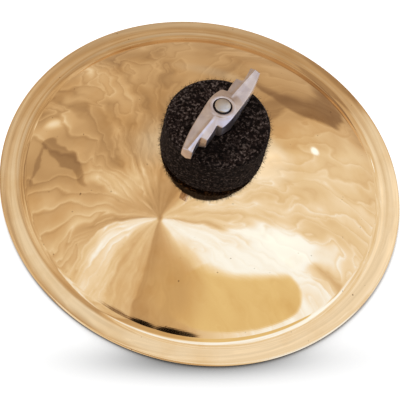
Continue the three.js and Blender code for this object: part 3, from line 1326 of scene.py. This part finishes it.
@dataclass
class WingNut(Assembly):
    """The die-cast nut on top: a hub between two wings, each with a smooth side and a stepped side."""

    tip_reach: float = 22.4 * MM
    half_width: float = 5.5 * MM
    azimuth: float = 68.5
    hub_base_radius: float = 5.3 * MM
    hub_top_radius: float = 4.7 * MM
    bore_radius: float = 3.45 * MM
    bore_chamfer: float = 0.2 * MM
    ridge_fall: float = 1.8 * MM
    edge_fall: float = 0.7 * MM
    ridge_height: float = 0.30 * MM
    ridge_width: float = 0.50 * MM
    keel_rise: float = 2.6 * MM
    keel_flare: float = 2.7 * MM
    draft: float = 0.35 * MM
    crown_reach: float = 4.4 * MM
    crown_blend: float = 4.0 * MM
    grid_step: float = 0.35 * MM
    voxel: float = 0.18 * MM
    edge_rounds: int = 8
    sides: int = 96
    flank: tuple[Point, ...] = (
        (1, -0.35), (0.76, -0.61), (0.54, -0.78), (0.27, -0.91), (0, -1), (-0.16, -0.97), (-0.28, -0.87),
        (-0.315, -0.75))
    shoulder: tuple[Point, ...] = ((-0.325, -0.47), (-0.48, -0.56), (-0.645, -0.6))
    toe: tuple[Point, ...] = ((-0.67, -0.14), (-0.83, -0.23), (-0.98, -0.36))

    def plan(self) -> list[Point]:
        """Draws the nut's outline from above, which is the same after half a turn.

        Returns:
            The outline's points.
        """
        half = [
            (along * self.tip_reach, across * self.half_width)
            for stretch in (self.flank, self.shoulder, self.toe) for along, across in splined(stretch, 5)]
        return half + [(-along, -across) for along, across in half]

    def top(self, along: float, across: float) -> float:
        """Shapes the top.

        Args:
            along: Place along the wings.
            across: Place across them.

        Returns:
            How far the top lies below the hub's highest face there.
        """
        out = math.hypot(along, across)
        wing = smooth_share(out, self.crown_reach, self.crown_reach + self.crown_blend)
        side = abs(across) / self.half_width
        gable = self.edge_fall * side ** 0.8
        ridge = self.ridge_height * math.exp(-(across / self.ridge_width) ** 2)
        return self.ridge_fall * abs(along) / self.tip_reach + wing * (gable + self.ridge_height - ridge)

    def keel(self, along: float, across: float) -> float:
        """Returns how far the underside lies above the hub's lowest face at a place."""
        return self.keel_rise * abs(along) / self.tip_reach + self.keel_flare * abs(across) / self.half_width

    def envelope(self) -> Piece:
        """Makes the block between the underside and the gabled top.

        Returns:
            The block, wider than the nut all round.
        """
        low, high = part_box("wing_nut")
        columns = 2 * math.ceil(1.05 * self.tip_reach / self.grid_step)
        rows = 2 * math.ceil(1.5 * self.half_width / self.grid_step)
        block = bmesh.new()
        layers = []
        for level in (lambda u, v: high.z - self.top(u, v), lambda u, v: low.z + self.keel(u, v)):
            places = [
                [((i - columns / 2) * self.grid_step, (j - rows / 2) * self.grid_step)
                 for j in range(rows + 1)] for i in range(columns + 1)]
            layers.append([[block.verts.new((u, v, level(u, v))) for u, v in line] for line in places])
        for layer in layers:
            for i in range(columns):
                for j in range(rows):
                    block.faces.new((layer[i][j], layer[i + 1][j], layer[i + 1][j + 1], layer[i][j + 1]))
        border = [(i, 0) for i in range(columns)] + [(columns, j) for j in range(rows)]
        border += [(i, rows) for i in range(columns, 0, -1)] + [(0, j) for j in range(rows, 0, -1)]
        for (i, j), (k, m) in zip(border, border[1:] + border[:1]):
            block.faces.new((layers[0][i][j], layers[0][k][m], layers[1][k][m], layers[1][i][j]))
        bmesh.ops.recalc_face_normals(block, faces=block.faces)
        return drawn("nut_envelope", block)

    def drafted_plan(self) -> Piece:
        """Makes the upright block over the outline, wider below so that it leaves the die.

        Returns:
            The block, taller than the nut.
        """
        low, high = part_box("wing_nut")
        block = bmesh.new()
        rings = []
        for height, growth in ((low.z - MM, self.draft), (high.z + MM, 0.0)):
            shares = (1 + growth / self.tip_reach, 1 + growth / self.half_width)
            rings.append([block.verts.new((u * shares[0], v * shares[1], height)) for u, v in self.plan()])
        for lower, upper, next_lower, next_upper in zip(*rings, *(ring[1:] + ring[:1] for ring in rings)):
            block.faces.new((lower, next_lower, next_upper, upper))
        for ring in rings:
            block.faces.new(ring)
        bmesh.ops.recalc_face_normals(block, faces=block.faces)
        return drawn("nut_plan", block)

    def build(self, shop: Workshop, finishes: Finishes) -> None:
        """Casts the nut in one piece, softens its edges and dresses it.

        Args:
            shop: The shared tools.
            finishes: The materials.
        """
        low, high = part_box("wing_nut")
        crown = high.z - self.top(0.0, self.hub_top_radius)
        chamfer = self.bore_radius + self.bore_chamfer
        hub = [(0.0, low.z), (self.hub_base_radius, low.z), (self.hub_top_radius, crown), (0.0, crown)]
        bore = [
            (0.0, low.z - MM), (chamfer, low.z - MM), (chamfer, low.z),
            (self.bore_radius, low.z + self.bore_chamfer), (self.bore_radius, high.z - self.bore_chamfer),
            (chamfer, high.z), (chamfer, high.z + MM), (0.0, high.z + MM)]
        hub_block, bore_block = (
            tidy_solid(shop.turned(name, outline, self.sides, None, False))
            for name, outline in (("nut_hub", hub), ("nut_bore", bore)))
        nut = self.envelope()
        cutters = [(self.drafted_plan(), "INTERSECT"), (hub_block, "UNION"), (bore_block, "DIFFERENCE")]
        for other, operation in cutters:
            shaping = nut.modifiers.new(operation, "BOOLEAN")
            shaping.object, shaping.operation, shaping.solver = other, operation, "MANIFOLD"
        skin = nut.modifiers.new("skin", "REMESH")
        skin.mode, skin.voxel_size = "VOXEL", self.voxel
        edges = nut.modifiers.new("edges", "SMOOTH")
        edges.factor, edges.iterations = 0.5, self.edge_rounds
        keep_evaluated(nut)
        for other, _ in cutters:
            bpy.data.objects.remove(other)
        nut.name = nut.data.name = "cast_wing_nut"
        nut.data.transform(Matrix.Rotation(math.radians(self.azimuth), 4, "Z"))
        nut.data.materials.clear()
        nut.data.materials.append(finishes.zinc)
        seat(tidy_solid(nut, 60), "wing_nut", "cast_zinc", "wing_nut")


@dataclass(frozen=True)
class Panel:
    """A lit or dark patch of the light tent, on a disc round the tent's crown whose unit is a degree.

    Gold above 0 deepens the patch's golden glow, and gold below 0 turns it to plain grey.
    """

    centre: Point
    half_sizes: Point
    turn: float
    softness: float
    level: float
    gold: float = 0.0
    wavy: bool = True


@dataclass
class Studio:
    """A soft light tent over a white floor, one soft lamp and the camera."""

    crown: Place = (-0.23, -0.07, 0.97)
    tent_right: Place = (0.973, 0.0, 0.231)
    full_level: float = 1.5
    soft_level: float = 0.45
    glow: float = 2.4
    gilding: Place = (1.0, 0.95, 0.70)
    cloth_colours: tuple[tuple[float, float, float, float], ...] = (
        (0.0, 0.0, 0.0, 0.0), (0.30, 0.30, 0.20, 0.13), (0.54, 0.54, 0.40, 0.26), (0.72, 0.72, 0.57, 0.40),
        (0.90, 0.90, 0.83, 0.70), (1.0, 1.0, 1.0, 1.0), (1.1, 1.10, 1.35, 1.85), (1.5, 1.5, 1.85, 2.4))
    cloth: tuple[Point, ...] = (
        (0, 1.0), (2, 0.95), (5, 0.66), (8, 0.86), (12, 1.03), (24, 0.98), (40, 0.90), (50, 0.90), (58, 0.82),
        (64, 0.70), (74, 0.52), (90, 0.55), (110, 0.58), (130, 0.60), (150, 0.62), (160, 0.70), (165, 0.62),
        (168, 0.70), (173, 0.72), (177, 0.78), (181, 0.72), (184, 0.56), (186, 0.94), (198, 0.98),
        (219, 0.87), (260.6, 0.80), (261.4, 0.58), (276, 0.61), (290, 0.72), (304, 0.86), (316, 1.03),
        (326, 1.08))
    left_side: Point = (-0.2, -0.7)
    left_heights: Point = (-0.64, 0.77)
    draw: Point = (-0.62, 0.40)
    draw_reach: float = 50.0
    sway: float = 9.0
    sway_size: float = 11.0
    sway_reach: float = 35.0
    fold_count: float = 24.0
    fold_wander: float = 6.0
    fold_width: float = 5.0
    fold_drift: float = 0.03
    fold_swell: float = 2.5
    fold_middle: float = 1.75
    folds: tuple[Point, ...] = (
        (0, 0.14), (20, 0.20), (40, 0.20), (75, 0.20), (100, 0.30), (130, 0.42), (160, 0.46), (184, 0.42),
        (190, 0.20), (240, 0.16), (260, 0.14), (275, 0.10), (300, 0.05), (350, 0.08))
    fold_profile: tuple[Point, ...] = (
        (0.0, 0.40), (0.07, 0.12), (0.16, 0.40), (0.50, 0.52), (0.84, 0.70), (0.94, 1.0), (1.0, 0.40))
    panels: tuple[Panel, ...] = (
        Panel((-14.0, 18.0), (17.0, 14.0), 0.0, 0.9, 0.80),
        Panel((-10.0, 36.0), (12.0, 17.0), 0.0, 0.9, 0.74, -0.5, wavy=False),
        Panel((2.0, 56.0), (20.0, 15.0), 0.0, 0.8, 0.58, -0.5, wavy=False),
        Panel((0.0, 84.5), (26.0, 6.0), 0.0, 0.9, 0.58, -0.3, wavy=False),
        Panel((32.0, 42.0), (17.0, 16.0), 0.0, 0.6, 1.0, -1.0, wavy=False),
        Panel((22.5, 66.0), (6.0, 22.0), -12.0, 0.35, 0.40, wavy=False),
        Panel((15.0, 28.0), (23.0, 18.0), 0.0, 0.8, 0.94, -1.0, wavy=False),
        Panel((22.0, 98.0), (24.0, 17.0), -25.0, 0.12, 0.31),
        Panel((11.0, 102.0), (22.0, 16.0), -25.0, 0.35, 0.53),
        Panel((48.0, 64.0), (2.6, 3.4), 30.0, 0.9, 1.5, wavy=False),
        Panel((-47.5, 30.0), (14.5, 4.0), -50.0, 0.25, 0.43),
        Panel((-39.0, 20.0), (10.0, 2.2), -52.0, 0.4, 0.45),
        Panel((-55.5, 39.0), (5.0, 3.6), -20.0, 0.25, 0.43),
        Panel((-59.8, 29.0), (13.0, 1.7), 85.0, 0.5, 0.45),
        Panel((-53.5, 48.0), (13.0, 8.0), 0.0, 0.9, 0.80),
        Panel((-55.3, 48.5), (7.0, 4.2), -25.0, 0.9, 1.12, wavy=False),
        Panel((40.0, -24.5), (34.0, 17.0), 25.0, 0.08, 0.86, 1.0, wavy=False),
        Panel((44.0, -1.5), (34.0, 14.0), 25.8, 0.35, 1.08, wavy=False),
        Panel((11.0, -31.0), (20.0, 26.0), 0.0, 0.8, 0.66, 0.6, wavy=False),
        Panel((13.0, -48.2), (18.0, 1.8), 0.0, 0.3, 0.01, wavy=False),
        Panel((-1.0, -46.4), (9.0, 1.7), -12.0, 0.3, 0.01, wavy=False),
        Panel((-16.0, -40.9), (16.0, 0.6), -23.0, 0.5, 0.22, wavy=False),
        Panel((-14.0, 134.0), (60.0, 17.0), 0.0, 0.3, 0.12, wavy=False),
        Panel((0.0, 0.0), (1.8, 1.8), 0.0, 0.9, 0.5, wavy=False),
    )
    floor_radius: float = 0.6
    floor_drop: float = 0.02 * MM
    paper_white: float = 0.85
    paper_glow: float = 0.5
    # Side, reach and strength of the painted contact shade that darkens the paper beside the rim.
    front: Place = (0.25, -0.97, 0.0)
    painted_contact_shade_reach: float = 7 * MM
    painted_contact_shade_strength: float = 2.0
    # Place, spread, turn and strengths of the painted shadow that is drawn on the paper on the near side of
    # the bell.
    painted_shadow_place: Place = (17.2 * MM, -71.2 * MM, 0.0)
    painted_shadow_spread: Place = (22.0 * MM, 4.2 * MM, 1.0)
    painted_shadow_turn: float = 17.5
    painted_shadow_strength: float = 0.44
    painted_shadow_fringe_strength: float = 0.14
    painted_shadow_fringe_root: float = 6.0
    lamp_direction: Place = (-0.4, 0.45, 0.8)
    lamp_distance: float = 0.9
    lamp_size: float = 0.5
    lamp_power: float = 5.0
    focal_pixels: float = 2383.0
    picture: float = 400.0
    camera_distance: float = 0.900
    elevation: float = 57.10
    roll: float = 14.87
    target: Place = (0.0, 0.0, 0.9 * MM)
    target_pixel: Point = (201.5, 186.1)
    sensor: float = 36.0

    def tent(self, tree: Tree) -> Flow:
        """Draws the light tent by direction.

        Args:
            tree: The world's tree.

        Returns:
            The tent's colour, as a share of its full glow.
        """
        up = Vector(self.crown).normalized()
        deep = up.cross(Vector(self.tent_right)).normalized()
        frame_of_tent = Matrix((deep.cross(up), deep, up))
        look = add_node(tree, "ShaderNodeTexCoord")["Generated"]
        turned = add_node(tree, "ShaderNodeMapping", {
            "Vector": look, "Rotation": tuple(frame_of_tent.to_euler())}, vector_type="POINT")
        degrees = turned.split()["Z"].math("ARCCOSINE") * (360 / TURN)
        disc = turned.vector("MULTIPLY", FLATTEN).vector("NORMALIZE").vector("SCALE", degrees)
        # Nothing hung by hand runs true: the cloth wanders from its spokes on the way down.
        astray = disc.noise(self.sway_size, 2.0)["Color"].vector("SUBTRACT", (0.5, 0.5, 0.5))
        sway = astray.vector("SCALE", degrees.remap(0.0, self.sway_reach, 0.0, self.sway))
        placed = disc.vector("ADD", sway).vector("MULTIPLY", FLATTEN)
        out = placed.vector("LENGTH")["Value"]
        ray = placed.vector("NORMALIZE")
        # On the left the cloth is drawn apart, so its spokes fan out upwards and downwards.
        straight = ray.split()
        fanned = straight["X"].remap(*self.left_side) * straight["Y"].remap(*self.left_heights, *self.draw)
        bent = add_node(tree, "ShaderNodeVectorRotate", {
            "Vector": ray, "Angle": out.remap(0.0, self.draw_reach, 0.0, fanned)}, rotation_type="Z_AXIS")
        shares = [
            part["Y"].math("ARCTAN2", part["X"]).math("MULTIPLY_ADD", 1 / TURN, 1.0)
            for part in (bent.split(), ray.split())]
        around = shares[0].math("FRACT")
        level = around.ramp(*((at / 360, lit / self.full_level) for at, lit in self.cloth)) * self.full_level
        gold = 0.0
        for panel in self.panels:
            local = add_node(tree, "ShaderNodeMapping", {
                "Vector": placed if panel.wavy else disc, "Location": (*panel.centre, 0.0),
                "Rotation": (0.0, 0.0, math.radians(panel.turn)),
                "Scale": (*panel.half_sizes, 10 * self.picture)}, vector_type="TEXTURE")
            cover = local.vector("LENGTH")["Value"].remap(1.0, 1 - panel.softness, soft=True)
            level = cover.mix(level, panel.level)
            gold = cover.mix(gold, panel.gold)
        # Cloth gathered at the crown falls in folds along the spokes. Each one brightens slowly up to a lit
        # edge, and falls back into the shade of the next one.
        down = add_node(tree, "ShaderNodeCombineXYZ", {"Z": out * self.fold_drift})
        fold = bent.vector("SCALE", self.fold_width).vector("ADD", down).noise(
            1.0, 1.5, Roughness=0.4, Distortion=0.8)
        counted = (shares[0] + shares[1]).math("MULTIPLY_ADD", self.fold_count, fold * self.fold_wander)
        relief = counted.math("FRACT").ramp(*self.fold_profile) + fold * self.fold_swell - self.fold_middle
        depth = around.ramp(*((at / 360, deepness) for at, deepness in self.folds))
        lit = level * relief.math("MULTIPLY_ADD", depth, 1.0)
        # Dim cloth glows gold, as it does among brass instruments, and full light is nearly white.
        cloth = (lit / self.full_level).ramp(*(
            (level_now / self.full_level, (red / self.glow, green / self.glow, blue / self.glow, 1.0))
            for level_now, red, green, blue in self.cloth_colours))
        golden = gold.mix(cloth, cloth.vector("MULTIPLY", self.gilding), colour=True)
        return (gold * -1.0).mix(golden, lit / self.glow, colour=True)

    def light_world(self) -> None:
        """Makes the world: white behind the object, the tent in its reflections and soft light on it."""
        world = bpy.data.worlds.new("light_tent")
        bpy.context.scene.world = world
        world.use_nodes = True
        world.cycles.sampling_method = "NONE"
        tree = world.node_tree
        tree.nodes.clear()
        path = add_node(tree, "ShaderNodeLightPath")
        plain_light = add_node(tree, "ShaderNodeBackground", {"Color": grey(self.soft_level)})
        tent = add_node(tree, "ShaderNodeBackground", {"Color": self.tent(tree), "Strength": self.glow})
        white = add_node(tree, "ShaderNodeBackground", {"Color": grey(1.0)})
        mirrored = path["Is Glossy Ray"].math("MAXIMUM", path["Is Transmission Ray"])
        unseen = add_node(tree, "ShaderNodeMixShader", {0: mirrored, 1: plain_light, 2: tent})
        seen = add_node(tree, "ShaderNodeMixShader", {0: path["Is Camera Ray"], 1: unseen, 2: white})
        add_node(tree, "ShaderNodeOutputWorld", {"Surface": seen})

    def hang_lamp(self) -> None:
        """Hangs one large soft lamp behind and to the left, which mirrors don't show."""
        light = bpy.data.lights.new("soft_box", "AREA")
        light.shape = "SQUARE"
        light.size = self.lamp_size
        light.energy = self.lamp_power
        lamp = bpy.data.objects.new("soft_box", light)
        direction = Vector(self.lamp_direction).normalized()
        lamp.location = direction * self.lamp_distance
        lamp.rotation_euler = direction.to_track_quat("Z", "Y").to_euler()
        lamp.visible_glossy = False
        bpy.context.scene.collection.objects.link(lamp)

    def paper(self) -> Material:
        """Makes the white paper, which only the camera sees, and only from above.

        Returns:
            The paper's material, with a painted shadow and painted contact shade of the bell in it, besides
            the lamp's real shadow.
        """
        material, place = new_material("white_paper")
        tree = material.node_tree
        tree.nodes.remove(tree.nodes["Principled BSDF"])
        # Painted contact shade: ambient occlusion darkens the paper's colour and glow right beside the rim,
        # only on the side where the lamp is behind the bell.
        crowding = add_node(
            tree, "ShaderNodeAmbientOcclusion", {"Distance": self.painted_contact_shade_reach}, samples=16)["AO"]
        contact_shade_mask = place.vector("DOT_PRODUCT", self.front)["Value"].remap(-0.01, 0.06, soft=True)
        contact = contact_shade_mask.mix(1.0, crowding ** self.painted_contact_shade_strength)
        # Painted shadow: one long soft blob, drawn by position at a fixed place on the paper on the near side
        # of the bell, darkens the paper's colour and glow.
        local = add_node(tree, "ShaderNodeMapping", {
            "Vector": place, "Location": self.painted_shadow_place, "Scale": self.painted_shadow_spread,
            "Rotation": (0.0, 0.0, math.radians(self.painted_shadow_turn))}, vector_type="TEXTURE")
        fall = (local.vector("DOT_PRODUCT", local)["Value"] * -0.5).math("EXPONENT")
        core, fringe = (
            dark.math("MULTIPLY_ADD", -strength, 1.0)
            for dark, strength in (
                (fall, self.painted_shadow_strength), (fall ** (1 / self.painted_shadow_fringe_root), self.painted_shadow_fringe_strength)))
        shade = contact * (core * fringe) ** DISPLAY_GAMMA
        lit = add_node(tree, "ShaderNodeBsdfDiffuse", {"Color": shade * self.paper_white})
        glow = add_node(tree, "ShaderNodeEmission", {"Strength": shade * self.paper_glow})
        above = 1.0 - add_node(tree, "ShaderNodeNewGeometry")["Backfacing"]
        clear = add_node(tree, "ShaderNodeBsdfTransparent")
        sheet = add_node(tree, "ShaderNodeAddShader", {0: lit, 1: glow})
        seen = add_node(tree, "ShaderNodeLightPath")["Is Camera Ray"] * above
        surface = add_node(tree, "ShaderNodeMixShader", {0: seen, 1: clear, 2: sheet})
        connect(tree, tree.nodes["Material Output"], {"Surface": surface})
        return material

    def lay_floor(self) -> None:
        """Lays a white paper floor that catches the lamp's real shadow of the bell, with a painted shadow and
        painted contact shade on it.
        """
        disc = bmesh.new()
        bmesh.ops.create_circle(disc, cap_ends=True, segments=96, radius=self.floor_radius)
        bmesh.ops.translate(disc, verts=disc.verts, vec=(0.0, 0.0, -self.floor_drop))
        floor = drawn("paper_floor", disc)
        floor.data.materials.append(self.paper())
        # A rocked bell dips below the plane that it rests on, so the paper sinks with its lowest edge.
        sink = floor.driver_add("location", 2)
        sink.driver.type = "SUM"
        tilt = sink.driver.variables.new()
        tilt.type = "TRANSFORMS"
        tilt.targets[0].id = bpy.data.objects["bell_shell"].parent
        tilt.targets[0].transform_type = "ROT_X"
        for modifier in list(sink.modifiers):
            sink.modifiers.remove(modifier)
        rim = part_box("bell_cymbal")[1].x
        for turn in (-1.0, 0.0, 1.0):
            sink.keyframe_points.insert(turn, -abs(turn) * rim).interpolation = "LINEAR"

    def aim_camera(self) -> None:
        """Puts the camera where the photograph was taken from, and turns it until the bell is in place."""
        rise, tilt = math.radians(self.elevation), math.radians(self.roll)
        back = Vector((0.0, -math.cos(rise), math.sin(rise)))
        up = Vector((0.0, math.sin(rise), math.cos(rise)))
        right = Vector((1.0, 0.0, 0.0))
        across = math.cos(tilt) * right + math.sin(tilt) * up
        upward = math.cos(tilt) * up - math.sin(tilt) * right
        offset = [(self.picture / 2 - pixel) / self.focal_pixels for pixel in self.target_pixel]
        look = (offset[0] * across - offset[1] * upward - back).normalized()
        across = (across - across.dot(look) * look).normalized()
        rotation = Matrix((across, across.cross(look), -look)).transposed()
        data = bpy.data.cameras.new("photo_camera")
        data.sensor_width = self.sensor
        data.lens = self.focal_pixels * self.sensor / self.picture
        data.clip_start = 0.01
        camera = bpy.data.objects.new("photo_camera", data)
        camera.matrix_world = Matrix.Translation(
            Vector(self.target) + self.camera_distance * back) @ rotation.to_4x4()
        bpy.context.scene.collection.objects.link(camera)
        bpy.context.scene.camera = camera

    def build(self) -> None:
        """Sets up the studio."""
        self.light_world()
        self.hang_lamp()
        self.lay_floor()
        self.aim_camera()
        bpy.context.scene.view_settings.view_transform = "Standard"


def main() -> None:
    """Builds the pieces in order, and then the studio."""
    logging.basicConfig(level=logging.INFO, format="%(name)s: %(message)s")
    shop = Workshop()
    finishes = Finishes()
    for assembly in (Bell(), Seat(), Post(), Damper(), WingNut()):
        LOG.info("building the %s", type(assembly).__name__)
        assembly.build(shop, finishes)
    Studio().build()


if __name__ == "__main__":
    main()
